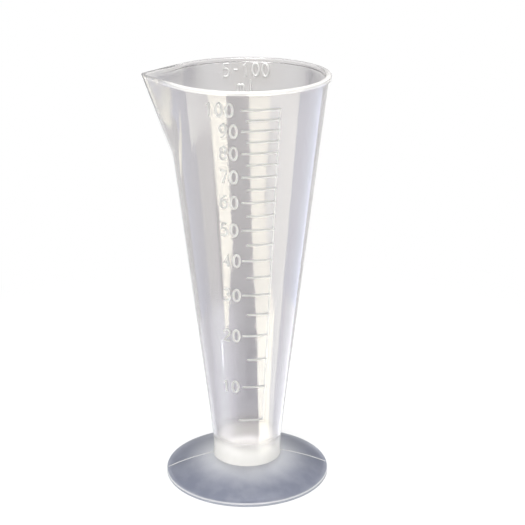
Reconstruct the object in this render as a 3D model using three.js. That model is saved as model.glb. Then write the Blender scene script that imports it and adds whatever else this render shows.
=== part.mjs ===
import * as THREE from "three";

// A footed measuring cup for 100 millilitres. Sizes are in millimetres, up is +Z,
// the scale faces -Y and the pouring lip points to -X.

// Capacity, and how far the rim stands above the top line of the scale
const SCALE_ML = 100;
const LINE_STEP_ML = 5;
const RIM_MARGIN = 5.5;

// Cup wall: its radius at the foot and its lean from upright
const STEM_RADIUS = 10.05;
const WALL_LEAN_DEG = 6.8;
const WALL = 1.2;
const FLOOR = 1.2;
const FLOOR_RISE = 0.4;
const FLOOR_ROUND = 1.6;

// Flare where the wall spreads on to the foot
const FLARE_OUT = 0.6;
const FLARE_HEIGHT = 8;
const FLARE_ROWS = 3;

// Bead round the rim
const BEAD_OUT = 0.7;
const BEAD_HEIGHT = 1.5;
const BEAD_ROUND = 0.35;

// Pouring lip: how far its tip stands out from the round rim, and how far its crease runs down the wall
const LIP_OUT = 5.4;
const LIP_DROP = 25;
const LIP_ROWS = 7;

// Foot: a shallow dome on a flat ring
const FOOT_RADIUS = 26;
const FOOT_HEIGHT = 6.2;
const FOOT_EDGE = 1.2;
const FOOT_WALL = 1.6;
const FOOT_ROUND = 0.35;
const SEAT_LEDGE = 0.3;
const DOME_ROWS = 6;

// Snap joint: a spigot under the cup in a collar under the foot
const SPIGOT_RADIUS = 7.4;
const SPIGOT_WALL = 1.1;
const SNAP_OUT = 0.4;
const SNAP_HEIGHT = 1;
const JOINT_GAP = 0.3;
const COLLAR_WALL = 1.2;
const TABLE_GAP = 0.8;

// Raised scale lines: left ends as distances along the wall from the middle of the scale,
// right ends on one upright line of the cone
const LINE_WIDTH = 0.6;
const LINE_RELIEF = 0.4;
const LINE_GAP = 0.05;
const LINE_RIGHT_DEG = 24;
const TEN_LEFT = -1.3;
const FIVE_LEFT = 0.1;
const FIRST_LEFT = -2.6;
const LINE_PARTS = 8;

// Facets round each turned surface
const TURNS = 72;

// Derived sizes
const TAPER = Math.tan(THREE.MathUtils.degToRad(WALL_LEAN_DEG));
const FLOOR_TOP = FOOT_HEIGHT + FLOOR_RISE;
const CUP_HEIGHT = fillHeight(SCALE_ML) + RIM_MARGIN;
const RIM_RADIUS = wallRadius(CUP_HEIGHT);
const LIP_START = CUP_HEIGHT - LIP_DROP;
const BEAD_RADIUS = RIM_RADIUS + BEAD_OUT;
const LIP_REACH = BEAD_RADIUS + LIP_OUT;
const LIP_STRETCH = LIP_REACH / BEAD_RADIUS;
const BORE_RADIUS = SPIGOT_RADIUS + JOINT_GAP;
const COLLAR_BOTTOM = TABLE_GAP + SNAP_HEIGHT + JOINT_GAP;
const SEAT_RADIUS = STEM_RADIUS + FLARE_OUT + SEAT_LEDGE;
// The axis stands beside the origin, so that the origin is the middle of the footprint.
const AXIS_X = (LIP_REACH - FOOT_RADIUS) / 2;

const SPOUT_ANGLE = 1.5 * Math.PI;

function wallRadius(z) {
  return STEM_RADIUS + TAPER * (z - FOOT_HEIGHT);
}

// The wall's outside with its flare at the foot.
function outerRadius(z) {
  const left = THREE.MathUtils.clamp(1 - (z - FOOT_HEIGHT) / FLARE_HEIGHT, 0, 1);
  return wallRadius(z) + FLARE_OUT * left ** 2;
}

function innerRadius(z) {
  return wallRadius(z) - WALL;
}

// Height of the liquid's surface above the table when the cone holds this many millilitres.
function fillHeight(ml) {
  const floorRadius = innerRadius(FLOOR_TOP);
  const surfaceRadius = Math.cbrt(floorRadius ** 3 + (3 * TAPER * ml * 1000) / Math.PI);
  return FLOOR_TOP + (surfaceRadius - floorRadius) / TAPER;
}

function steps(from, to, count) {
  return Array.from({ length: count + 1 }, (_, i) => from + ((to - from) * i) / count);
}

// How much further out than the round wall the lip's crease lies at height z.
function creaseStretch(z) {
  const share = THREE.MathUtils.clamp((z - LIP_START) / LIP_DROP, 0, 1);
  const start = wallRadius(LIP_START);
  const crease = start + (RIM_RADIUS * LIP_STRETCH - start) * share;
  const round = start + (RIM_RADIUS - start) * share;
  return crease / round;
}

// The lip's two flanks are straight lines that leave the round wall at a tangent and meet at the crease.
function lipStretch(angle, z) {
  if (z <= LIP_START) return 1;
  const spread = Math.acos(1 / creaseStretch(z));
  const away = Math.abs(angle - SPOUT_ANGLE);
  return away < spread ? 1 / Math.cos(spread - away) : 1;
}

// Turns a profile of [radius, height] pairs about the upright axis.
function turned(profile) {
  const points = profile.map(([r, z]) => new THREE.Vector2(r, z));
  return new THREE.LatheGeometry(points, TURNS).rotateX(Math.PI / 2);
}

function pullLip(geometry) {
  const spots = geometry.getAttribute("position");
  for (let i = 0; i < spots.count; i += 1) {
    const turn = Math.atan2(spots.getX(i), -spots.getY(i));
    const angle = turn < 0 ? turn + 2 * Math.PI : turn;
    const stretch = lipStretch(angle, spots.getZ(i));
    spots.setX(i, spots.getX(i) * stretch);
    spots.setY(i, spots.getY(i) * stretch);
  }
  geometry.computeVertexNormals();
  return geometry;
}

function cupGeometry() {
  const spigotBore = SPIGOT_RADIUS - SPIGOT_WALL;
  const beadBottom = CUP_HEIGHT - BEAD_HEIGHT;
  const wallRows = steps(LIP_START, beadBottom, LIP_ROWS);
  const spigot = [
    [0, FLOOR_TOP - FLOOR],
    [spigotBore, FLOOR_TOP - FLOOR],
    [spigotBore, TABLE_GAP],
    [SPIGOT_RADIUS - SNAP_OUT / 2, TABLE_GAP],
    [SPIGOT_RADIUS + SNAP_OUT, TABLE_GAP + SNAP_HEIGHT * 0.6],
    [SPIGOT_RADIUS, TABLE_GAP + SNAP_HEIGHT],
    [SPIGOT_RADIUS, FOOT_HEIGHT],
  ];
  const flareRows = steps(FOOT_HEIGHT, FOOT_HEIGHT + FLARE_HEIGHT, FLARE_ROWS);
  const outside = [...flareRows, ...wallRows].map((z) => [outerRadius(z), z]);
  const bead = [
    [BEAD_RADIUS, beadBottom + BEAD_ROUND],
    [BEAD_RADIUS, CUP_HEIGHT - BEAD_ROUND],
    [BEAD_RADIUS - BEAD_ROUND, CUP_HEIGHT],
    [RIM_RADIUS - WALL + BEAD_ROUND, CUP_HEIGHT],
    [RIM_RADIUS - WALL, CUP_HEIGHT - BEAD_ROUND],
  ];
  const roundTop = FLOOR_TOP + FLOOR_ROUND;
  const inside = [...wallRows.toReversed(), roundTop].map((z) => [innerRadius(z), z]);
  const roundCentre = innerRadius(roundTop) - FLOOR_ROUND;
  const corner = [Math.PI / 6, Math.PI / 3, Math.PI / 2].map((a) => [
    roundCentre + FLOOR_ROUND * Math.cos(a),
    roundTop - FLOOR_ROUND * Math.sin(a),
  ]);
  const floor = [[0, FLOOR_TOP]];
  return pullLip(turned([...spigot, ...outside, ...bead, ...inside, ...corner, ...floor]));
}

function domeHeight(r) {
  const share = (r ** 2 - SEAT_RADIUS ** 2) / (FOOT_RADIUS ** 2 - SEAT_RADIUS ** 2);
  return FOOT_HEIGHT - (FOOT_HEIGHT - FOOT_EDGE) * share;
}

function footGeometry() {
  const ringInside = FOOT_RADIUS - FOOT_WALL;
  const collarRadius = BORE_RADIUS + COLLAR_WALL;
  const collar = [
    [BORE_RADIUS, FOOT_HEIGHT],
    [BORE_RADIUS, COLLAR_BOTTOM],
    [collarRadius, COLLAR_BOTTOM],
    [collarRadius, FOOT_HEIGHT - FOOT_WALL],
  ];
  const under = steps(SEAT_RADIUS, ringInside, DOME_ROWS).map((r) => [r, domeHeight(r) - FOOT_WALL]);
  const edge = [
    [ringInside, 0],
    [FOOT_RADIUS - FOOT_ROUND, 0],
    [FOOT_RADIUS, FOOT_ROUND],
    [FOOT_RADIUS, FOOT_EDGE - FOOT_ROUND],
  ];
  const top = steps(FOOT_RADIUS - FOOT_ROUND, SEAT_RADIUS, DOME_ROWS).map((r) => [r, domeHeight(r)]);
  return turned([...collar, ...under, ...edge, ...top, [BORE_RADIUS, FOOT_HEIGHT]]);
}

function lineLeft(ml) {
  if (ml === LINE_STEP_ML) return FIRST_LEFT;
  return ml % 10 === 0 ? TEN_LEFT : FIVE_LEFT;
}

// A short bar bent round the wall, with its upper edge's radius all the way down its back.
function lineGeometry(ml) {
  const bottom = fillHeight(ml) - LINE_WIDTH / 2;
  const back = wallRadius(bottom + LINE_WIDTH) + LINE_GAP;
  const right = THREE.MathUtils.degToRad(LINE_RIGHT_DEG);
  const angles = steps(lineLeft(ml) / back, right, LINE_PARTS);
  const arc = (r, turn) => new THREE.Vector2(r * Math.sin(turn), -r * Math.cos(turn));
  const front = angles.map((a) => arc(back + LINE_RELIEF, a));
  const rear = angles.toReversed().map((a) => arc(back, a));
  const bar = new THREE.ExtrudeGeometry(new THREE.Shape([...front, ...rear]), {
    depth: LINE_WIDTH,
    bevelEnabled: false,
  });
  return bar.translate(0, 0, bottom);
}

function addPiece(group, name, geometry, colour, roughness) {
  const material = new THREE.MeshStandardMaterial({ color: colour, roughness, metalness: 0 });
  material.transparent = true;
  material.opacity = 0.6;
  const mesh = new THREE.Mesh(geometry, material);
  mesh.name = name;
  mesh.position.x = AXIS_X;
  group.add(mesh);
}

const measuringCup = new THREE.Group();
measuringCup.name = "measuring_cup";
addPiece(measuringCup, "cup_shell", cupGeometry(), 0xe4e5ea, 0.25);
addPiece(measuringCup, "foot", footGeometry(), 0xd9dbe4, 0.3);
for (let ml = LINE_STEP_ML; ml <= SCALE_ML; ml += LINE_STEP_ML) {
  addPiece(measuringCup, `line_${String(ml).padStart(3, "0")}_ml`, lineGeometry(ml), 0xf2f2f4, 0.3);
}

export default measuringCup;
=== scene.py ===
import math

import bpy
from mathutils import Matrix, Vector


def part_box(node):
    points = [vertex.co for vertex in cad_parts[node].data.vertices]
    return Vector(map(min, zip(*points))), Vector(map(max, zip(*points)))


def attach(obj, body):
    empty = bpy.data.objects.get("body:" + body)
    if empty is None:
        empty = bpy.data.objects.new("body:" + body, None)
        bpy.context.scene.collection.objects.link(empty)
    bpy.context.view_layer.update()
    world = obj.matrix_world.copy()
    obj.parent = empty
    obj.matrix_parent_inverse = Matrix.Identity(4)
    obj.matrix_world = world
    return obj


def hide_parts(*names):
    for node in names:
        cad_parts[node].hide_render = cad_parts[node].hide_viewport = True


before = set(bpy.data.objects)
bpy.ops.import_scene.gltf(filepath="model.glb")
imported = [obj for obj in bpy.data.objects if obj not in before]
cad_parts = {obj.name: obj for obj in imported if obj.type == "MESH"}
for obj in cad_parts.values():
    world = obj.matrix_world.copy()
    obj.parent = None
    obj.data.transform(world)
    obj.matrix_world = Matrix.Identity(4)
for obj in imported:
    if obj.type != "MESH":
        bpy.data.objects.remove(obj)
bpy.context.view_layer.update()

# A footed measuring cup in clear moulded plastic. Sizes are in metres, up is +Z, the scale
# faces -Y and the pouring lip points to -X.
MM = 0.001

# Sizes read from the frame
CUP_LOW, CUP_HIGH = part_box("cup_shell")
FOOT_LOW, FOOT_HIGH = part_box("foot")
AXIS_X = (FOOT_LOW.x + FOOT_HIGH.x) / 2
CUP_TOP = CUP_HIGH.z
BEAD_RADIUS = CUP_HIGH.x - AXIS_X
LIP_REACH = AXIS_X - CUP_LOW.x
FOOT_TOP = FOOT_HIGH.z
FOOT_RADIUS = (FOOT_HIGH.x - FOOT_LOW.x) / 2

# Cup wall
STEM_RADIUS = 10.05 * MM
TAPER = math.tan(math.radians(6.8))
WALL = 1.2 * MM
FLOOR_TOP = FOOT_TOP + 0.4 * MM
FLOOR = 1.2 * MM
FLOOR_ROUND = 2 * MM
FLARE_OUT = 0.85 * MM
FLARE_HEIGHT = 8 * MM
RIM_RADIUS = STEM_RADIUS + TAPER * (CUP_TOP - FOOT_TOP)
BEAD_HEIGHT = 1.5 * MM
BEAD_ROUND = 0.55 * MM
BEAD_START = math.radians(12)
BEAD_FULL = math.radians(40)
LIP_DROP = 25 * MM
CREASE_ROUND = 0.05

# Snap joint under the cup
SEAT_GAP = 0.05 * MM
SPIGOT_RADIUS = 7.4 * MM
SPIGOT_BORE = 6.3 * MM
SPIGOT_BOTTOM = 0.8 * MM
SNAP_OUT = 0.4 * MM
SNAP_HEIGHT = 1 * MM

# Foot
SEAT_RADIUS = 10.95 * MM
FOOT_EDGE = 1.2 * MM
FOOT_WALL = 1.6 * MM
FOOT_ROUND = 0.5 * MM
RING_ROUND = 0.3 * MM
BORE_RADIUS = 7.7 * MM
COLLAR_RADIUS = 8.9 * MM
COLLAR_BOTTOM = 2.1 * MM
PARTING_RADIUS = 0.22 * MM
PARTING_SINK = 0.06 * MM
PARTING_TURN = math.radians(3.5)

# Raised marks on the wall
MARK_GAP = 0.03 * MM
LINE_WIDTH = 0.6 * MM
LINE_RELIEF = 0.4 * MM
LINE_RIGHT = math.radians(24)
TEN_LEFT = -1.3 * MM
FIVE_LEFT = 0.1 * MM
FIRST_LEFT = -2.6 * MM
UPRIGHT_TURN = math.radians(23.6)
UPRIGHT_WIDTH = 0.3 * MM
UPRIGHT_RELIEF = 0.2 * MM
FIGURE_WIDTH = 1.9 * MM
FIGURE_HEIGHT = 3.8 * MM
FIGURE_PITCH = 3.05 * MM
FIGURE_RIGHT = -2.6 * MM
# Figures that stand further right or left along the wall than the rest, by their millilitres
FIGURE_SHIFT = {20: 0.4 * MM, 30: 0.6 * MM, 40: 0.7 * MM, 100: -1.15 * MM}
STROKE_WIDTH = 0.7 * MM
STROKE_RELIEF = 0.38 * MM
LEGEND_DROP = (3.6 * MM, 8.7 * MM)
LEGEND_HEIGHT = 3.9 * MM
LEGEND_WORDS = ("5-100", "ml")

# Fineness of the meshes
CUP_TURNS = 240
FOOT_TURNS = 192
ROUND_STEPS = 6
FLARE_STEPS = 12
OUTSIDE_STEPS = 16
INSIDE_STEPS = 18
LIP_STEPS = 20
UNDER_STEPS = 20
DOME_STEPS = 24
SEAM_STEPS = 20
SEAM_ROUND = 2
LINE_STEPS = 16
SECTION_POINTS = 9
STROKE_STEP_DEG = 12
TURNED_SHARP_DEG = 40
MARK_SHARP_DEG = 60
WELD = 0.002 * MM

# Plastic
PLASTIC_IOR = 1.49
DULL_SPECULAR = 0.2

# Room and floor
ROOM_LIGHT = 0.6
FLOOR_REACH = 6
FLOOR_SIDES = 64

# Cards round the cup: their tints, and the heights at which they lie over one another
CREAM = (1, 0.96, 0.8, 1)
PALE = (1, 0.985, 0.95, 1)
COOL = (0.75, 0.8, 1, 1)
SOFT = (0.92, 0.93, 1, 1)
WHITE = (1, 1, 1, 1)
LOW_CARD = 0.4 * MM
MIDDLE_CARD = 0.6 * MM
HIGH_CARD = 0.8 * MM
TOP_CARD = 1 * MM
SECTOR_STEPS = 8

# Shares of a reflection card's strength that are left for steep and for grazing rays, and where
# the strength changes, from 0 for a ray square to the card to 1 for one along it
STEEP_SHARE = 0.2
GRAZING_SHARE = 0.1
STEEP_CUT = (0.05, 0.25)
NEAR_CUT = (0.54, 0.64)
FAR_CUT = (0.615, 0.7)

# Camera, from the photograph's outline of the rim and the foot
CAMERA_PLACE = (AXIS_X, -0.4108, 0.2157)
CAMERA_DOWN = 0.339
CAMERA_ASIDE = 0.0121
IMAGE_SIDE = 525
FOCAL_PIXELS = 1410
SENSOR_WIDTH = 36
NEAR_CLIP = 0.01

scene = bpy.context.scene


def wall_radius(z):
    return STEM_RADIUS + TAPER * (z - FOOT_TOP)


def outer_radius(z):
    left = min(max(1 - (z - FOOT_TOP) / FLARE_HEIGHT, 0), 1)
    return wall_radius(z) + FLARE_OUT * left**2


def inner_radius(z):
    return wall_radius(z) - WALL


def steps(start, end, count):
    return [start + (end - start) * i / count for i in range(count + 1)]


def corner(r, z, radius, start, end):
    """Points of a rounded corner in a profile, by its centre and two angles in degrees."""
    turns = [math.radians(a) for a in steps(start, end, ROUND_STEPS)]
    return [(r + radius * math.cos(a), z + radius * math.sin(a)) for a in turns]


# Node helpers
def new_node(tree, kind, **settings):
    made = tree.nodes.new(kind)
    for name, value in settings.items():
        setattr(made, name, value)
    return made


def plug(tree, value, socket):
    """Wires a socket into another one, or sets a plain value on it."""
    if isinstance(value, bpy.types.NodeSocket):
        tree.links.new(value, socket)
    else:
        socket.default_value = value


def calc(tree, operation, *values):
    made = new_node(tree, "ShaderNodeMath", operation=operation)
    for value, socket in zip(values, made.inputs):
        plug(tree, value, socket)
    return made.outputs[0]


def vector(tree, x, y, z):
    made = new_node(tree, "ShaderNodeCombineXYZ")
    for value, socket in zip((x, y, z), made.inputs):
        plug(tree, value, socket)
    return made.outputs[0]


def parts_of(tree, value):
    made = new_node(tree, "ShaderNodeSeparateXYZ")
    plug(tree, value, made.inputs[0])
    return made.outputs


def geometry_tree(name, numbers, counts=()):
    """A Geometry Nodes tree with named inputs, and its input and output nodes."""
    tree = bpy.data.node_groups.new(name, "GeometryNodeTree")
    tree.interface.new_socket("Geometry", in_out="INPUT", socket_type="NodeSocketGeometry")
    for label in numbers:
        tree.interface.new_socket(label, in_out="INPUT", socket_type="NodeSocketFloat")
    for label in counts:
        tree.interface.new_socket(label, in_out="INPUT", socket_type="NodeSocketInt")
    tree.interface.new_socket("Geometry", in_out="OUTPUT", socket_type="NodeSocketGeometry")
    return tree, new_node(tree, "NodeGroupInput").outputs, new_node(tree, "NodeGroupOutput").inputs


def end_tree(tree, geometry, material, output):
    real = new_node(tree, "GeometryNodeRealizeInstances")
    finish = new_node(tree, "GeometryNodeSetMaterial")
    plug(tree, geometry, real.inputs[0])
    plug(tree, real.outputs[0], finish.inputs["Geometry"])
    plug(tree, material, finish.inputs["Material"])
    plug(tree, finish.outputs[0], output["Geometry"])


def link_object(name, data):
    made = bpy.data.objects.new(name, data)
    scene.collection.objects.link(made)
    return made


def run_tree(name, data, tree, sizes, sharp_deg):
    """Runs a tree on a mesh or a curve, and keeps the result as a plain mesh piece."""
    holder = link_object(name + "_source", data)
    modifier = holder.modifiers.new(tree.name, "NODES")
    modifier.node_group = tree
    sockets = {item.name: item.identifier for item in tree.interface.items_tree if item.in_out == "INPUT"}
    for label, value in sizes.items():
        modifier[sockets[label]] = value
    graph = bpy.context.evaluated_depsgraph_get()
    mesh = bpy.data.meshes.new_from_object(holder.evaluated_get(graph))
    bpy.data.objects.remove(holder)
    mesh.name = name
    mesh.shade_smooth()
    mesh.set_sharp_from_angle(angle=math.radians(sharp_deg))
    return link_object(name, mesh)


# Materials
def material_tree(name):
    made = bpy.data.materials.new(name)
    made.use_nodes = True
    tree = made.node_tree
    return made, tree, tree.nodes["Principled BSDF"].inputs


def centred(tree, stretch=(1, 1, 1)):
    """Object coordinates about the cup's axis, with a stretch along each axis."""
    spot = new_node(tree, "ShaderNodeTexCoord").outputs["Object"]
    place = new_node(tree, "ShaderNodeMapping")
    plug(tree, spot, place.inputs["Vector"])
    place.inputs["Location"].default_value = (-AXIS_X * stretch[0], 0, 0)
    place.inputs["Scale"].default_value = stretch
    return place.outputs[0]


def length_of(tree, value):
    made = new_node(tree, "ShaderNodeVectorMath", operation="LENGTH")
    plug(tree, value, made.inputs[0])
    return made.outputs["Value"]


def noise(tree, spot, scale, detail):
    made = new_node(tree, "ShaderNodeTexNoise")
    plug(tree, spot, made.inputs["Vector"])
    made.inputs["Scale"].default_value = scale
    made.inputs["Detail"].default_value = detail
    return made.outputs["Fac"]


def spread(tree, value, low, high, to_low, to_high):
    """Carries a value from one range to another with soft ends."""
    made = new_node(tree, "ShaderNodeMapRange", interpolation_type="SMOOTHSTEP")
    amounts = {"Value": value, "From Min": low, "From Max": high, "To Min": to_low, "To Max": to_high}
    for label, amount in amounts.items():
        plug(tree, amount, made.inputs[label])
    return made.outputs[0]


def blend(tree, share, first, second):
    made = new_node(tree, "ShaderNodeMix", data_type="RGBA")
    colours = [socket for socket in made.inputs if socket.type == "RGBA"]
    plug(tree, share, made.inputs[0])
    plug(tree, first, colours[0])
    plug(tree, second, colours[1])
    return [socket for socket in made.outputs if socket.type == "RGBA"][0]


def bump(tree, height, strength, distance):
    made = new_node(tree, "ShaderNodeBump")
    plug(tree, height, made.inputs["Height"])
    made.inputs["Strength"].default_value = strength
    made.inputs["Distance"].default_value = distance
    return made.outputs[0]


def colour(red, green, blue):
    return (red, green, blue, 1)


def cup_material():
    """Clear polypropylene with a faint haze and upright flow marks, milky at the rim bead and the floor.

    The bead's whiteness fades on the pouring lip; its extra whiteness on the -Y half of the rim,
    fading towards the back, is a painted highlight. The darker, bluer low wall is painted shade.
    """
    made, tree, shader = material_tree("clear_cup_plastic")
    flow = noise(tree, centred(tree, (1, 1, 0.12)), scale=140, detail=3)
    grain = noise(tree, centred(tree), scale=700, detail=2)
    spot = parts_of(tree, centred(tree))
    height = spot[2]
    floor = spread(tree, height, FLOOR_TOP + 3 * MM, FLOOR_TOP + 10 * MM, 1, 0)
    haze = spread(tree, height, FLOOR_TOP + 4 * MM, FLOOR_TOP + 10 * MM, 1, 0)
    rim = spread(tree, height, CUP_TOP - 1.3 * MM, CUP_TOP - 1 * MM, 0, 0.65)
    off_lip = spread(tree, spot[0], -27 * MM, -19 * MM, 0.5, 1)
    # Extra bead whiteness on the -Y half of the rim, fading towards +Y: a painted highlight.
    front_painted_highlight = spread(tree, spot[1], -6 * MM, 10 * MM, 1, 0.25)
    bead = calc(tree, "MULTIPLY", calc(tree, "MULTIPLY", rim, off_lip), front_painted_highlight)
    milky_and_painted_highlight = calc(tree, "MAXIMUM", floor, bead)
    pale = calc(tree, "MAXIMUM", haze, milky_and_painted_highlight)
    wall = blend(tree, flow, colour(0.72, 0.705, 0.71), colour(0.755, 0.74, 0.74))
    # Darker, bluer tint low on the wall: painted shade.
    stem = blend(tree, spread(tree, height, 20 * MM, 90 * MM, 0, 1), colour(0.675, 0.665, 0.69), wall)
    plug(tree, blend(tree, pale, stem, colour(0.975, 0.958, 0.918)), shader["Base Color"])
    gloss = spread(tree, flow, 0.3, 0.7, 0.07, 0.15)
    plug(tree, calc(tree, "MULTIPLY_ADD", haze, 0.08, gloss), shader["Roughness"])
    plug(tree, spread(tree, milky_and_painted_highlight, 0, 1.1, 0.9, 0.08), shader["Transmission Weight"])
    plug(tree, bump(tree, grain, strength=0.06, distance=0.2 * MM), shader["Normal"])
    shader["IOR"].default_value = PLASTIC_IOR
    depth = new_node(tree, "ShaderNodeVolumeAbsorption")
    depth.inputs["Color"].default_value = colour(0.5, 0.48, 0.49)
    depth.inputs["Density"].default_value = 30
    plug(tree, depth.outputs[0], tree.nodes["Material Output"].inputs["Volume"])
    return made


def foot_material():
    """Grey-blue clear plastic, paler by the stem as painted light against the cup's shadow and darker
    further out as painted shade; a painted highlight tops the outer edge, with painted shade below.
    """
    made, tree, shader = material_tree("foot_plastic_painted_light_and_shade")
    spot = parts_of(tree, centred(tree))
    radius = length_of(tree, vector(tree, spot[0], spot[1], 0))
    cloud = spread(tree, noise(tree, centred(tree), scale=220, detail=4), 0.35, 0.65, 0, 1)
    grain = noise(tree, centred(tree), scale=800, detail=2)
    # Paler by the stem: painted light against the cup's shadow; darker further out: painted shade.
    near = blend(tree, cloud, colour(0.85, 0.86, 0.9), colour(0.9, 0.91, 0.94))
    far = blend(tree, cloud, colour(0.26, 0.28, 0.36), colour(0.345, 0.365, 0.44))
    dome = blend(tree, spread(tree, radius, SEAT_RADIUS - 2 * MM, 22 * MM, 0, 1), near, far)
    edge = spread(tree, radius, FOOT_RADIUS - 0.2 * MM, FOOT_RADIUS - 0.08 * MM, 0, 1)
    # White top of the outer edge: painted highlight; dark lower face: painted shade.
    painted_highlight_over_shade = spread(tree, spot[2], 0.7 * MM, 0.85 * MM, 0, 1)
    rim = blend(tree, painted_highlight_over_shade, colour(0.36, 0.38, 0.44), colour(0.72, 0.72, 0.73))
    plug(tree, blend(tree, edge, dome, rim), shader["Base Color"])
    plug(tree, spread(tree, cloud, 0, 1, 0.32, 0.45), shader["Roughness"])
    plug(tree, spread(tree, edge, 0, 1, 0.7, 0.3), shader["Transmission Weight"])
    plug(tree, bump(tree, grain, strength=0.08, distance=0.2 * MM), shader["Normal"])
    shader["IOR"].default_value = PLASTIC_IOR
    shader["Specular IOR Level"].default_value = DULL_SPECULAR
    return made


def mark_material(name, clear):
    """The whitish raised lines, figures and seam of the moulding, by how clear they are."""
    made, tree, shader = material_tree(name)
    cloud = noise(tree, centred(tree), scale=400, detail=2)
    grain = noise(tree, centred(tree), scale=1500, detail=2)
    plug(tree, blend(tree, cloud, colour(0.84, 0.835, 0.82), colour(0.9, 0.895, 0.88)), shader["Base Color"])
    plug(tree, spread(tree, cloud, 0.3, 0.7, 0.45, 0.6), shader["Roughness"])
    plug(tree, spread(tree, cloud, 0.3, 0.7, clear, clear + 0.07), shader["Transmission Weight"])
    plug(tree, bump(tree, grain, strength=0.1, distance=0.1 * MM), shader["Normal"])
    shader["IOR"].default_value = PLASTIC_IOR
    shader["Specular IOR Level"].default_value = DULL_SPECULAR
    return made


# Turned pieces
TURN_NUMBERS = (
    "Axis X",
    "Lip Start",
    "Lip Top",
    "Start Radius",
    "Rim Radius",
    "Lip Stretch",
    "Crease Round",
    "Bead Out",
    "Bead Start",
    "Bead Full",
)


def lip_pull(tree, given, height, away):
    """How far the pouring lip pulls the wall out: two straight flanks that meet in a rounded crease."""
    rise = calc(tree, "SUBTRACT", height, given["Lip Start"])
    drop = calc(tree, "SUBTRACT", given["Lip Top"], given["Lip Start"])
    share = new_node(tree, "ShaderNodeClamp")
    plug(tree, calc(tree, "DIVIDE", rise, drop), share.inputs["Value"])
    share = share.outputs[0]
    start = given["Start Radius"]
    wall_rise = calc(tree, "SUBTRACT", given["Rim Radius"], start)
    crease_top = calc(tree, "MULTIPLY", given["Rim Radius"], given["Lip Stretch"])
    crease_rise = calc(tree, "SUBTRACT", crease_top, start)
    wall = calc(tree, "MULTIPLY_ADD", wall_rise, share, start)
    crease = calc(tree, "MULTIPLY_ADD", crease_rise, share, start)
    half = calc(tree, "ARCCOSINE", calc(tree, "DIVIDE", wall, crease))
    reach = calc(tree, "ADD", half, given["Crease Round"])
    round_square = calc(tree, "MULTIPLY", given["Crease Round"], given["Crease Round"])
    soft_away = calc(tree, "SQRT", calc(tree, "MULTIPLY_ADD", away, away, round_square))
    inside = calc(tree, "MAXIMUM", calc(tree, "SUBTRACT", reach, soft_away), 0.0)
    return wall, share, calc(tree, "DIVIDE", 1.0, calc(tree, "COSINE", inside))


def without_bead(tree, given, radius, wall, share, away):
    """Keeps the rim bead off the lip: above the lip's start no point stands out past the wall there."""
    bead = spread(tree, away, given["Bead Start"], given["Bead Full"], 0.0, given["Bead Out"])
    below = calc(tree, "LESS_THAN", share, 0.001)
    limit = calc(tree, "ADD", calc(tree, "ADD", wall, bead), below)
    return calc(tree, "MINIMUM", radius, limit)


def turned_tree(name, material):
    """Turns a profile, given as a line of points, about the cup's axis and pulls the lip out."""
    tree, given, output = geometry_tree(name, TURN_NUMBERS, ("Turns",))
    size = new_node(tree, "GeometryNodeAttributeDomainSize")
    plug(tree, given["Geometry"], size.inputs["Geometry"])
    ring = calc(tree, "ADD", given["Turns"], 1.0)
    grid = new_node(tree, "GeometryNodeMeshGrid")
    plug(tree, size.outputs["Point Count"], grid.inputs["Vertices X"])
    plug(tree, ring, grid.inputs["Vertices Y"])
    index = new_node(tree, "GeometryNodeInputIndex").outputs[0]
    row = calc(tree, "FLOOR", calc(tree, "DIVIDE", calc(tree, "ADD", index, 0.5), ring))
    step = calc(tree, "SUBTRACT", index, calc(tree, "MULTIPLY", row, ring))
    angle = calc(tree, "MULTIPLY", calc(tree, "DIVIDE", step, given["Turns"]), math.tau)
    away = calc(tree, "MINIMUM", angle, calc(tree, "SUBTRACT", math.tau, angle))
    sample = new_node(tree, "GeometryNodeSampleIndex", data_type="FLOAT_VECTOR")
    plug(tree, given["Geometry"], sample.inputs["Geometry"])
    plug(tree, new_node(tree, "GeometryNodeInputPosition").outputs[0], sample.inputs["Value"])
    plug(tree, row, sample.inputs["Index"])
    point = parts_of(tree, sample.outputs["Value"])
    wall, share, pull = lip_pull(tree, given, point[2], away)
    radius = calc(tree, "MULTIPLY", without_bead(tree, given, point[0], wall, share, away), pull)
    x = calc(tree, "SUBTRACT", given["Axis X"], calc(tree, "MULTIPLY", radius, calc(tree, "COSINE", angle)))
    y = calc(tree, "MULTIPLY", radius, calc(tree, "SINE", angle))
    place = new_node(tree, "GeometryNodeSetPosition")
    plug(tree, grid.outputs["Mesh"], place.inputs["Geometry"])
    plug(tree, vector(tree, x, y, point[2]), place.inputs["Position"])
    close = new_node(tree, "GeometryNodeMergeByDistance")
    plug(tree, place.outputs[0], close.inputs["Geometry"])
    close.inputs["Distance"].default_value = WELD
    end_tree(tree, close.outputs[0], material, output)
    return tree


def profile_line(name, points):
    mesh = bpy.data.meshes.new(name)
    mesh.from_pydata([(r, 0, z) for r, z in points], [(i, i + 1) for i in range(len(points) - 1)], [])
    return mesh


def turned_piece(name, points, turns, material, lip_stretch=1):
    sizes = {
        "Axis X": AXIS_X,
        "Lip Start": CUP_TOP - LIP_DROP,
        "Lip Top": CUP_TOP,
        "Start Radius": wall_radius(CUP_TOP - LIP_DROP),
        "Rim Radius": RIM_RADIUS,
        "Lip Stretch": lip_stretch,
        "Crease Round": CREASE_ROUND,
        "Bead Out": BEAD_RADIUS - RIM_RADIUS,
        "Bead Start": BEAD_START,
        "Bead Full": BEAD_FULL,
        "Turns": turns,
    }
    tree = turned_tree(name + "_turning", material)
    return run_tree(name, profile_line(name, points), tree, sizes, TURNED_SHARP_DEG)


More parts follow.
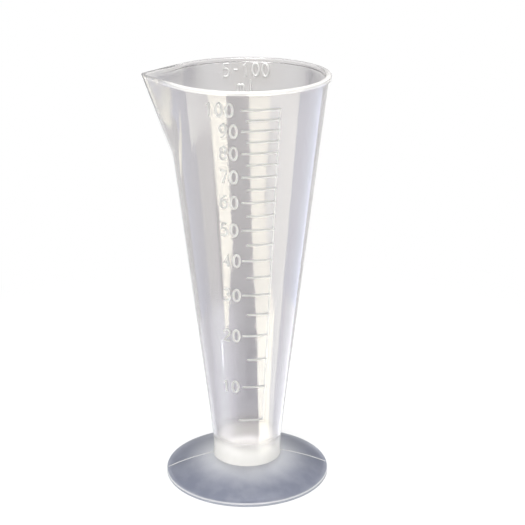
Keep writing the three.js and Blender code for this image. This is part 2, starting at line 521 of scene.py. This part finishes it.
def cup_profile():
    """From the middle of the underside out, up the wall, over the rim bead and down to the floor."""
    under = FLOOR_TOP - FLOOR
    shoulder = FOOT_TOP + SEAT_GAP
    flare_top = FOOT_TOP + FLARE_HEIGHT
    bead_bottom = CUP_TOP - BEAD_HEIGHT
    lip_start = CUP_TOP - LIP_DROP
    spigot = [
        (0, under),
        (SPIGOT_BORE, under),
        (SPIGOT_BORE, SPIGOT_BOTTOM),
        (SPIGOT_RADIUS - SNAP_OUT / 2, SPIGOT_BOTTOM),
        (SPIGOT_RADIUS + SNAP_OUT, SPIGOT_BOTTOM + SNAP_HEIGHT * 0.6),
        (SPIGOT_RADIUS, SPIGOT_BOTTOM + SNAP_HEIGHT),
        (SPIGOT_RADIUS, shoulder),
    ]
    flare = [(outer_radius(z), z) for z in steps(shoulder, flare_top, FLARE_STEPS)]
    outside = [(wall_radius(z), z) for z in steps(flare_top, lip_start, OUTSIDE_STEPS)[1:]]
    outside += [(wall_radius(z), z) for z in steps(lip_start, bead_bottom, LIP_STEPS)[1:]]
    bead_out = BEAD_RADIUS - BEAD_ROUND
    bead_in = RIM_RADIUS - WALL + BEAD_ROUND
    bead = corner(bead_out, bead_bottom + BEAD_ROUND, BEAD_ROUND, -90, 0)
    bead += corner(bead_out, CUP_TOP - BEAD_ROUND, BEAD_ROUND, 0, 90)
    bead += corner(bead_in, CUP_TOP - BEAD_ROUND, BEAD_ROUND, 90, 180)
    inside = [(inner_radius(z), z) for z in steps(bead_bottom, lip_start, LIP_STEPS)]
    round_top = FLOOR_TOP + FLOOR_ROUND
    inside += [(inner_radius(z), z) for z in steps(lip_start, round_top, INSIDE_STEPS)[1:]]
    floor = corner(inner_radius(round_top) - FLOOR_ROUND, round_top, FLOOR_ROUND, 0, -90)[1:]
    return [*spigot, *flare, *outside, *bead, *inside, *floor, (0, FLOOR_TOP)]


def dome_height(r):
    share = (r**2 - SEAT_RADIUS**2) / (FOOT_RADIUS**2 - SEAT_RADIUS**2)
    return FOOT_TOP - (FOOT_TOP - FOOT_EDGE) * share


def foot_profile():
    """From the seat down the collar, out under the dome, round the edge and back over the top."""
    ring_inside = FOOT_RADIUS - FOOT_WALL
    edge_out = FOOT_RADIUS - FOOT_ROUND
    ring_out = FOOT_RADIUS - RING_ROUND
    collar = [
        (BORE_RADIUS, FOOT_TOP),
        (BORE_RADIUS, COLLAR_BOTTOM),
        (COLLAR_RADIUS, COLLAR_BOTTOM),
        (COLLAR_RADIUS, FOOT_TOP - FOOT_WALL),
    ]
    under = [(r, dome_height(r) - FOOT_WALL) for r in steps(SEAT_RADIUS, ring_inside, UNDER_STEPS)]
    ring = [(ring_inside, 0), *corner(ring_out, RING_ROUND, RING_ROUND, -90, 0)]
    edge = corner(edge_out, dome_height(edge_out) - FOOT_ROUND, FOOT_ROUND, 0, 90)
    top = [(r, dome_height(r)) for r in steps(edge_out, SEAT_RADIUS, DOME_STEPS)[1:]]
    return [*collar, *under, *ring, *edge, *top, (BORE_RADIUS, FOOT_TOP)]


# Raised marks
WRAP_NUMBERS = ("Axis X", "Wall Radius", "Wall Taper", "Wall Height", "Mark Gap", "Outward", "Facing")
RIDGE_NUMBERS = ("Ridge Width", "Ridge Relief")


def ridge(tree, given, curve):
    """Sweeps a half-round section with a flat back along flat strokes."""
    upright = new_node(tree, "GeometryNodeSetCurveNormal", mode="Z_UP")
    plug(tree, curve, upright.inputs["Curve"])
    section = new_node(tree, "GeometryNodeCurveArc", mode="RADIUS")
    section.inputs["Resolution"].default_value = SECTION_POINTS
    section.inputs["Radius"].default_value = 1
    section.inputs["Start Angle"].default_value = math.pi
    section.inputs["Sweep Angle"].default_value = math.pi
    section.inputs["Connect Center"].default_value = True
    size = new_node(tree, "GeometryNodeTransform")
    plug(tree, section.outputs["Curve"], size.inputs["Geometry"])
    half = calc(tree, "MULTIPLY", given["Ridge Width"], 0.5)
    plug(tree, vector(tree, half, given["Ridge Relief"], 1.0), size.inputs["Scale"])
    sweep = new_node(tree, "GeometryNodeCurveToMesh")
    plug(tree, upright.outputs["Curve"], sweep.inputs["Curve"])
    plug(tree, size.outputs[0], sweep.inputs["Profile Curve"])
    sweep.inputs["Fill Caps"].default_value = True
    return sweep.outputs["Mesh"]


def wrap(tree, given, mesh):
    """Bends flat marks round the wall: X runs along it, Y is the height and Z stands off it."""
    flat = parts_of(tree, new_node(tree, "GeometryNodeInputPosition").outputs[0])
    rise = calc(tree, "SUBTRACT", flat[1], given["Wall Height"])
    wall = calc(tree, "MULTIPLY_ADD", rise, given["Wall Taper"], given["Wall Radius"])
    turn = calc(tree, "DIVIDE", flat[0], wall)
    off = calc(tree, "ADD", flat[2], given["Mark Gap"])
    reach = calc(tree, "MULTIPLY_ADD", off, given["Outward"], wall)
    x = calc(tree, "MULTIPLY_ADD", reach, calc(tree, "SINE", turn), given["Axis X"])
    y = calc(tree, "MULTIPLY", calc(tree, "MULTIPLY", reach, calc(tree, "COSINE", turn)), given["Facing"])
    place = new_node(tree, "GeometryNodeSetPosition")
    plug(tree, mesh, place.inputs["Geometry"])
    plug(tree, vector(tree, x, y, flat[1]), place.inputs["Position"])
    return place.outputs[0]


def wrap_sizes(outside):
    return {
        "Axis X": AXIS_X,
        "Wall Radius": STEM_RADIUS if outside else STEM_RADIUS - WALL,
        "Wall Taper": TAPER,
        "Wall Height": FOOT_TOP,
        "Mark Gap": MARK_GAP,
        "Outward": 1.0 if outside else -1.0,
        "Facing": -1.0 if outside else 1.0,
    }


def line_tree(material):
    """One raised line for each point: the point is its left end, and a named length its run."""
    tree, given, output = geometry_tree("scale_lines", (*WRAP_NUMBERS, *RIDGE_NUMBERS), ("Line Steps",))
    bar = new_node(tree, "GeometryNodeCurvePrimitiveLine")
    bar.inputs["End"].default_value = (1, 0, 0)
    fine = new_node(tree, "GeometryNodeResampleCurve")
    plug(tree, bar.outputs[0], fine.inputs["Curve"])
    plug(tree, given["Line Steps"], fine.inputs["Count"])
    length = new_node(tree, "GeometryNodeInputNamedAttribute", data_type="FLOAT")
    length.inputs["Name"].default_value = "run"
    copies = new_node(tree, "GeometryNodeInstanceOnPoints")
    plug(tree, given["Geometry"], copies.inputs["Points"])
    plug(tree, fine.outputs[0], copies.inputs["Instance"])
    plug(tree, vector(tree, length.outputs["Attribute"], 1.0, 1.0), copies.inputs["Scale"])
    real = new_node(tree, "GeometryNodeRealizeInstances")
    plug(tree, copies.outputs[0], real.inputs[0])
    end_tree(tree, wrap(tree, given, ridge(tree, given, real.outputs[0])), material, output)
    return tree


def figure_tree(material):
    tree, given, output = geometry_tree("raised_figures", (*WRAP_NUMBERS, *RIDGE_NUMBERS))
    end_tree(tree, wrap(tree, given, ridge(tree, given, given["Geometry"])), material, output)
    return tree


def line_nodes():
    """The frame's scale lines as pairs of millilitres and node name."""
    names = [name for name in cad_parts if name.startswith("line_")]
    return sorted((int(name.split("_")[1]), name) for name in names)


def line_height(name):
    low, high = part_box(name)
    return (low.z + high.z) / 2


def line_left(ml):
    if ml == line_nodes()[0][0]:
        return FIRST_LEFT
    return TEN_LEFT if ml % 10 == 0 else FIVE_LEFT


def scale_lines(material):
    mesh = bpy.data.meshes.new("scale_line_ends")
    rows = [(line_left(ml), line_height(name)) for ml, name in line_nodes()]
    mesh.from_pydata([(left, z, 0) for left, z in rows], [], [])
    runs = mesh.attributes.new("run", "FLOAT", "POINT")
    runs.data.foreach_set("value", [LINE_RIGHT * wall_radius(z) - left for left, z in rows])
    sizes = {
        **wrap_sizes(True),
        "Ridge Width": LINE_WIDTH,
        "Ridge Relief": LINE_RELIEF,
        "Line Steps": LINE_STEPS,
    }
    return run_tree("scale_lines", mesh, line_tree(material), sizes, MARK_SHARP_DEG)


def bow(x, y, width, height, start, end):
    """Points along part of an ellipse, by its centre, its half sizes and two angles in degrees."""
    count = max(2, round(abs(end - start) / STROKE_STEP_DEG))
    turns = [math.radians(a) for a in steps(start, end, count)]
    return [(x + width * math.cos(a), y + height * math.sin(a)) for a in turns]


def six(flip):
    """The strokes of a 6, or turned half round, of a 9."""
    strokes = [bow(0.5, 0.31, 0.5, 0.31, 180, -180), bow(0.82, 0.31, 0.82, 0.69, 180, 90)]
    return [[(1 - x, 1 - y) for x, y in stroke] for stroke in strokes] if flip else strokes


# Strokes of each sign in a box of width and height 1
STROKES = {
    "0": [bow(0.5, 0.5, 0.5, 0.5, 90, -270)],
    "1": [[(0.2, 0.8), (0.55, 1), (0.55, 0)]],
    "2": [[*bow(0.5, 0.71, 0.48, 0.29, 170, -30), (0, 0), (1, 0)]],
    "3": [bow(0.46, 0.755, 0.44, 0.245, 140, -90), bow(0.46, 0.26, 0.54, 0.26, 90, -140)],
    "4": [[(0.74, 0), (0.74, 1), (0, 0.3), (1, 0.3)]],
    "5": [[(0.92, 1), (0.16, 1), *bow(0.44, 0.32, 0.56, 0.32, 128, -128)]],
    "6": six(False),
    "7": [[(0, 1), (1, 1), (0.36, 0)]],
    "8": [bow(0.5, 0.76, 0.42, 0.24, 90, -270), bow(0.5, 0.26, 0.5, 0.26, 90, -270)],
    "9": six(True),
    "m": [
        [(0, 0), (0, 0.66)],
        [(0.5, 0), *bow(0.25, 0.42, 0.25, 0.22, 0, 180)],
        [(1, 0), *bow(0.75, 0.42, 0.25, 0.22, 0, 180)],
    ],
    "l": [[(0.5, 0), (0.5, 1)]],
    "-": [[(0.2, 0.5), (0.8, 0.5)]],
}


def add_strokes(curve, word, right, middle, height):
    """Draws a word as flat strokes that end at right and are centred on the height middle."""
    width = FIGURE_WIDTH * height / FIGURE_HEIGHT
    pitch = FIGURE_PITCH * height / FIGURE_HEIGHT
    left = right - width - pitch * (len(word) - 1)
    for place, sign in enumerate(word):
        for stroke in STROKES[sign]:
            closed = len(stroke) > 3 and math.dist(stroke[0], stroke[-1]) < 0.001
            points = stroke[:-1] if closed else stroke
            spline = curve.splines.new("POLY")
            spline.points.add(len(points) - 1)
            spline.use_cyclic_u = closed
            for point, (x, y) in zip(spline.points, points):
                point.co = (left + place * pitch + x * width, middle + (y - 0.5) * height, 0, 1)


def flat_curve(name):
    curve = bpy.data.curves.new(name, "CURVE")
    curve.dimensions = "3D"
    return curve


def scale_figures(material):
    curve = flat_curve("scale_figures")
    for ml, name in line_nodes():
        if ml % 10 == 0:
            right = FIGURE_RIGHT + FIGURE_SHIFT.get(ml, 0)
            add_strokes(curve, str(ml), right, line_height(name), FIGURE_HEIGHT)
    sizes = {**wrap_sizes(True), "Ridge Width": STROKE_WIDTH, "Ridge Relief": STROKE_RELIEF}
    return run_tree("scale_figures", curve, figure_tree(material), sizes, MARK_SHARP_DEG)


def scale_upright(material):
    """The fine upright ridge that the right ends of the lines run into."""
    curve = flat_curve("scale_upright")
    spline = curve.splines.new("POLY")
    spline.points.add(1)
    ends = (line_nodes()[0][1], line_nodes()[-1][1])
    for point, name in zip(spline.points, ends):
        z = line_height(name)
        point.co = (UPRIGHT_TURN * wall_radius(z), z, 0, 1)
    sizes = {**wrap_sizes(True), "Ridge Width": UPRIGHT_WIDTH, "Ridge Relief": UPRIGHT_RELIEF}
    return run_tree("scale_upright", curve, figure_tree(material), sizes, MARK_SHARP_DEG)


def rim_legend(material):
    curve = flat_curve("rim_legend")
    for word, drop in zip(LEGEND_WORDS, LEGEND_DROP):
        width = LEGEND_HEIGHT / FIGURE_HEIGHT * (FIGURE_WIDTH + FIGURE_PITCH * (len(word) - 1))
        add_strokes(curve, word, width / 2, CUP_TOP - drop, LEGEND_HEIGHT)
    sizes = {**wrap_sizes(False), "Ridge Width": STROKE_WIDTH, "Ridge Relief": STROKE_RELIEF}
    return run_tree("rim_legend", curve, figure_tree(material), sizes, MARK_SHARP_DEG)


def parting_line(material):
    """The fine seam of the mould, which crosses the top of the foot from left to right."""
    curve = flat_curve("foot_parting_line")
    curve.bevel_depth = PARTING_RADIUS
    curve.bevel_resolution = SEAM_ROUND
    curve.use_fill_caps = True
    for side in (-1, 1):
        reaches = steps(SEAT_RADIUS, FOOT_RADIUS - FOOT_ROUND, SEAM_STEPS)
        spline = curve.splines.new("POLY")
        spline.points.add(len(reaches) - 1)
        for point, r in zip(spline.points, reaches):
            x = AXIS_X + side * r * math.cos(PARTING_TURN)
            point.co = (x, side * r * math.sin(PARTING_TURN), dome_height(r) - PARTING_SINK, 1)
    holder = link_object("parting_line_source", curve)
    graph = bpy.context.evaluated_depsgraph_get()
    mesh = bpy.data.meshes.new_from_object(holder.evaluated_get(graph))
    bpy.data.objects.remove(holder)
    mesh.materials.clear()
    mesh.materials.append(material)
    mesh.shade_smooth()
    return link_object("foot_parting_line", mesh)


# Stage
def seen_directly(tree):
    """1 for the camera's own rays, mirrored ones and those through clear plastic."""
    rays = new_node(tree, "ShaderNodeLightPath").outputs
    shown = calc(tree, "MAXIMUM", rays["Is Camera Ray"], rays["Is Glossy Ray"])
    return calc(tree, "MAXIMUM", shown, rays["Is Transmission Ray"])


def white_world(light):
    """A white room that is greyer towards the horizon."""
    world = bpy.data.worlds.new("white_room")
    world.use_nodes = True
    tree = world.node_tree
    tree.nodes.clear()
    background = new_node(tree, "ShaderNodeBackground")
    output = new_node(tree, "ShaderNodeOutputWorld")
    up = parts_of(tree, new_node(tree, "ShaderNodeTexCoord").outputs["Generated"])[2]
    room = spread(tree, up, 0.0, 0.5, 0.5, 1.0)
    level = spread(tree, seen_directly(tree), 0.0, 1.0, light, 1.0)
    plug(tree, calc(tree, "MULTIPLY", room, level), background.inputs["Strength"])
    plug(tree, background.outputs[0], output.inputs["Surface"])
    scene.world = world


def floor_material():
    """Pale matt floor that shows as white, and keeps the cup's shadow close to it."""
    made = bpy.data.materials.new("white_floor")
    made.use_nodes = True
    tree = made.node_tree
    tree.nodes.clear()
    lit = new_node(tree, "ShaderNodeBsdfDiffuse")
    lit.inputs["Color"].default_value = colour(0.94, 0.94, 0.94)
    white = new_node(tree, "ShaderNodeEmission")
    mix = new_node(tree, "ShaderNodeMixShader")
    output = new_node(tree, "ShaderNodeOutputMaterial")
    white_share = spread(tree, length_of(tree, centred(tree)), 40 * MM, 200 * MM, 0.75, 1)
    plug(tree, calc(tree, "MULTIPLY", seen_directly(tree), white_share), mix.inputs["Fac"])
    plug(tree, lit.outputs[0], mix.inputs[1])
    plug(tree, white.outputs[0], mix.inputs[2])
    plug(tree, mix.outputs[0], output.inputs["Surface"])
    return made


def flat_sheet(name, corners, height):
    """A level sheet, by its corners as places beside the cup's axis."""
    mesh = bpy.data.meshes.new(name)
    mesh.from_pydata([(AXIS_X + x, y, height) for x, y in corners], [], [range(len(corners))])
    made = link_object(name, mesh)
    return made


def white_floor():
    turns = steps(0, math.tau, FLOOR_SIDES)[:-1]
    made = flat_sheet("floor", [(FLOOR_REACH * math.cos(a), FLOOR_REACH * math.sin(a)) for a in turns], 0)
    made.data.materials.append(floor_material())


def beside_cup(corners):
    """Places round the cup's axis, by their turn in degrees from -Y towards +X and their distance in mm."""
    turned = [(math.radians(turn), reach * MM) for turn, reach in corners]
    return [(reach * math.sin(turn), -reach * math.cos(turn)) for turn, reach in turned]


def sector(start, end, inner, outer):
    """Corners of part of a ring round the cup's axis."""
    turns = steps(start, end, SECTOR_STEPS)
    return beside_cup([(turn, outer) for turn in turns] + [(turn, inner) for turn in reversed(turns)])


def turned_strength(tree, start, end, first, last):
    """A strength that runs from first to last between two turns round the cup's axis, in degrees."""
    spot = parts_of(tree, centred(tree))
    turn = calc(tree, "ARCTAN2", spot[0], calc(tree, "MULTIPLY", spot[1], -1.0))
    return spread(tree, turn, math.radians(start), math.radians(end), first, last)


def glowing_card(name, corners, height, tint):
    """A card that lies by the cup, lights nothing and isn't seen by itself."""
    made = flat_sheet(name, corners, height)
    glow = bpy.data.materials.new(name)
    glow.use_nodes = True
    tree = glow.node_tree
    tree.nodes.clear()
    light = new_node(tree, "ShaderNodeEmission")
    light.inputs["Color"].default_value = tint
    plug(tree, light.outputs[0], new_node(tree, "ShaderNodeOutputMaterial").inputs["Surface"])
    made.data.materials.append(glow)
    made.visible_camera = False
    made.visible_diffuse = False
    made.visible_shadow = False
    return made, tree, light.inputs["Strength"]


def louvred(tree, steep, level, cut):
    """A strength for steep and level rays, as with louvres on the card, and with a cut for grazing ones."""
    low_share = new_node(tree, "ShaderNodeLayerWeight").outputs["Facing"]
    raised = spread(tree, low_share, *STEEP_CUT, steep, level)
    return spread(tree, low_share, *cut, raised, GRAZING_SHARE * level) if cut else raised


def reflection_card(name, corners, height, strength, tint, cut=FAR_CUT):
    """A card that shows only as a reflection on the wall."""
    made, tree, socket = glowing_card(name, corners, height, tint)
    made.visible_transmission = False
    plug(tree, louvred(tree, STEEP_SHARE * strength, strength, cut), socket)


def fading_card(name, start, end, inner, outer, strengths):
    """Part of a ring of reflection card near the cup that grows brighter or darker round its axis."""
    made, tree, socket = glowing_card(name, sector(start, end, inner, outer), MIDDLE_CARD, SOFT)
    made.visible_transmission = False
    strength = turned_strength(tree, start, end, *strengths)
    share = louvred(tree, STEEP_SHARE, 1.0, NEAR_CUT)
    plug(tree, calc(tree, "MULTIPLY", strength, share), socket)


def backdrop_card(name, corners, strength, tint):
    """A grey card on the floor behind the cup that shows only through the plastic, and white from above."""
    made, tree, socket = glowing_card(name, corners, LOW_CARD, tint)
    made.visible_glossy = False
    plug(tree, louvred(tree, 1.0, strength, None), socket)


def soft_lamp(name, place, aim, side, power):
    lamp = bpy.data.lights.new(name, "AREA")
    lamp.shape = "SQUARE"
    lamp.size = side
    lamp.energy = power
    made = link_object(name, lamp)
    made.location = place
    made.rotation_euler = (Vector(aim) - Vector(place)).to_track_quat("-Z", "Y").to_euler()
    made.visible_camera = False


def photo_camera():
    lens = bpy.data.cameras.new("photo_camera")
    lens.sensor_width = SENSOR_WIDTH
    lens.lens = FOCAL_PIXELS / IMAGE_SIDE * SENSOR_WIDTH
    lens.clip_start = NEAR_CLIP
    made = link_object("photo_camera", lens)
    made.location = CAMERA_PLACE
    made.rotation_euler = (math.pi / 2 - CAMERA_DOWN, 0, -CAMERA_ASIDE)
    scene.camera = made


def front_cards():
    """What the middle of the wall mirrors: two windows, the dark between them and a glow on the right."""
    left_window = [
        (-52, 310), (-50, 240), (-46, 170), (-46, 130), (-48, 105), (-50, 93),
        (-40, 93), (-37, 105), (-31, 130), (-24, 150), (-27, 240), (-26, 310),
    ]
    left_thread = [(-59.4, 85), (-60, 79), (-61.2, 70), (-58.4, 70), (-57, 79), (-56.6, 85)]
    right_window = [(3, 310), (6, 220), (10, 156), (18, 108), (58, 110), (34, 170), (33, 310)]
    right_stem = [(18, 108), (24, 82), (38, 30), (66, 28), (61, 110)]
    right_gap = [
        (38.5, 262), (36.5, 226), (34.5, 200), (33, 180),
        (29.5, 180), (31, 200), (33, 226), (34.5, 262),
    ]
    reflection_card("left_window", beside_cup(left_window), HIGH_CARD, 12, CREAM)
    reflection_card("left_thread", beside_cup(left_thread), HIGH_CARD, 18, SOFT)
    reflection_card("right_window", beside_cup(right_window), HIGH_CARD, 10.7, CREAM)
    reflection_card("right_stem", beside_cup(right_stem), HIGH_CARD, 13, CREAM, NEAR_CUT)
    reflection_card("dark_front", sector(-52, 33, 28, 310), LOW_CARD, 0.1, COOL)
    reflection_card("right_gap", beside_cup(right_gap), TOP_CARD, 2.4, PALE)
    reflection_card("right_glow", sector(33, 79, 112, 340), LOW_CARD, 6.8, PALE)
    reflection_card("right_low_glow", sector(33, 79, 28, 112), LOW_CARD, 6.8, PALE, NEAR_CUT)


def side_cards():
    """What the wall mirrors towards its left and right edges."""
    lip_streak = [
        (-106, 340), (-109, 331), (-114, 318), (-120, 308), (-128, 300),
        (-132, 272), (-121, 279), (-114, 292), (-110, 303),
    ]
    reflection_card("right_side", sector(79, 135, 125, 420), LOW_CARD, 3.2, COOL, None)
    reflection_card("right_near", sector(79, 135, 28, 125), LOW_CARD, 3.7, SOFT, None)
    reflection_card("left_near", sector(-135, -102, 28, 112), LOW_CARD, 1.8, SOFT, None)
    fading_card("left_rise", -102, -60, 28, 112, (1.8, 5.6))
    fading_card("left_fall", -60, -4, 28, 112, (5.6, 0.4))
    reflection_card("left_band", sector(-90, -52, 265, 345), MIDDLE_CARD, 4.8, PALE)
    reflection_card("left_middle", sector(-80, -52, 112, 265), LOW_CARD, 2.5, PALE)
    reflection_card("lip_streak", beside_cup(lip_streak), HIGH_CARD, 3.2, CREAM, None)
    reflection_card("left_far", sector(-120, -80, 112, 420), LOW_CARD, 1.8, COOL, None)


def backdrop_cards():
    """What shows through the wall behind the mouth and the stem."""
    back_stem = [(180, 171), (178.4, 171), (177.7, 103), (176, 52), (180, 52)]
    backdrop_card("back_left_edge", sector(184.5, 185.1, 570, 710), 0.15, PALE)
    backdrop_card("back_left", sector(185.1, 189, 560, 720), 0.7, SOFT)
    backdrop_card("back_middle", sector(177.4, 181.5, 572, 700), 0.93, PALE)
    backdrop_card("back_right", sector(170.5, 174.2, 560, 720), 0.45, SOFT)
    backdrop_card("back_stem", beside_cup(back_stem), 0.83, WHITE)


def build_stage():
    photo_camera()
    white_world(ROOM_LIGHT)
    white_floor()
    soft_lamp("top_lamp", place=(AXIS_X, -0.05, 0.9), aim=(AXIS_X, 0, 0), side=0.28, power=9)
    soft_lamp("key_lamp", place=(-0.25, -0.75, 0.8), aim=(0, 0, 0.05), side=0.7, power=5.5)
    front_cards()
    side_cards()
    backdrop_cards()


def place_piece(piece, nodes=()):
    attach(piece, "root")
    if nodes:
        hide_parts(*nodes)


def build_cup():
    lines = mark_material("milky_line_plastic", 0.6)
    figures = mark_material("milky_figure_plastic", 0.55)
    upright = mark_material("milky_upright_plastic", 0.1)
    words = mark_material("milky_word_plastic", 0.3)
    cup = turned_piece("clear_cup", cup_profile(), CUP_TURNS, cup_material(), LIP_REACH / RIM_RADIUS)
    foot = turned_piece("domed_foot", foot_profile(), FOOT_TURNS, foot_material())
    place_piece(cup, ["cup_shell"])
    place_piece(foot, ["foot"])
    place_piece(scale_lines(lines), [name for _, name in line_nodes()])
    place_piece(scale_upright(upright))
    place_piece(scale_figures(figures))
    place_piece(rim_legend(words))
    place_piece(parting_line(words))


scene.view_settings.view_transform = "Standard"
build_cup()
build_stage()
